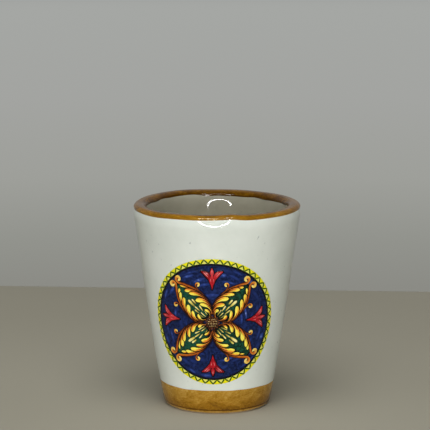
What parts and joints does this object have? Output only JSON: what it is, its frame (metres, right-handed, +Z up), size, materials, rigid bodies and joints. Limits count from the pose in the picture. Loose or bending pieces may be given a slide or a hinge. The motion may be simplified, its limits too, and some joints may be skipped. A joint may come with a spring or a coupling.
{
  "type": "shot glass",
  "caption": "Small tapered glazed earthenware shot cup with amber bands at lip and foot and a round painted medallion of leaves and fleurons on the front.",
  "frame": {"origin": "centre of the foot ring, on the surface the cup stands on", "axes": "+Z up along the cup's axis, out of its mouth; -Y towards the front, where the medallion is; +X to the right of someone looking at the medallion"},
  "size_m": [0.0492, 0.0492, 0.06],
  "materials": {
    "bare_clay": "bare fired earthenware, matt and slightly rough",
    "white_glaze": "glossy milky white tin glaze with faint blue-grey specks",
    "amber_glaze": "glossy translucent amber wash, watery and uneven",
    "yellow_enamel": "glossy fired enamel, lemon yellow with a dark green zigzag line",
    "blue_enamel": "glossy fired enamel, deep blue with paler brush marks",
    "leaf_enamel": "glossy fired enamels, yellow and orange lobes with green between",
    "red_enamel": "glossy fired enamel, crimson with pink brush marks",
    "brown_enamel": "glossy fired enamel, dark brown with cream dots"
  },
  "bodies": {
    "root": {"clay_body": "bare_clay", "underside_glaze": "white_glaze", "outer_glaze": "white_glaze", "inner_glaze": "white_glaze", "rim_band": "amber_glaze", "foot_band": "amber_glaze", "medallion_border": "yellow_enamel", "medallion_ground": "blue_enamel", "leaf_upper_right": "leaf_enamel", "leaf_upper_left": "leaf_enamel", "leaf_lower_left": "leaf_enamel", "leaf_lower_right": "leaf_enamel", "fleuron_right": "red_enamel", "fleuron_top": "red_enamel", "fleuron_left": "red_enamel", "fleuron_bottom": "red_enamel", "seed_head": "brown_enamel"}
  },
  "joints": []
}
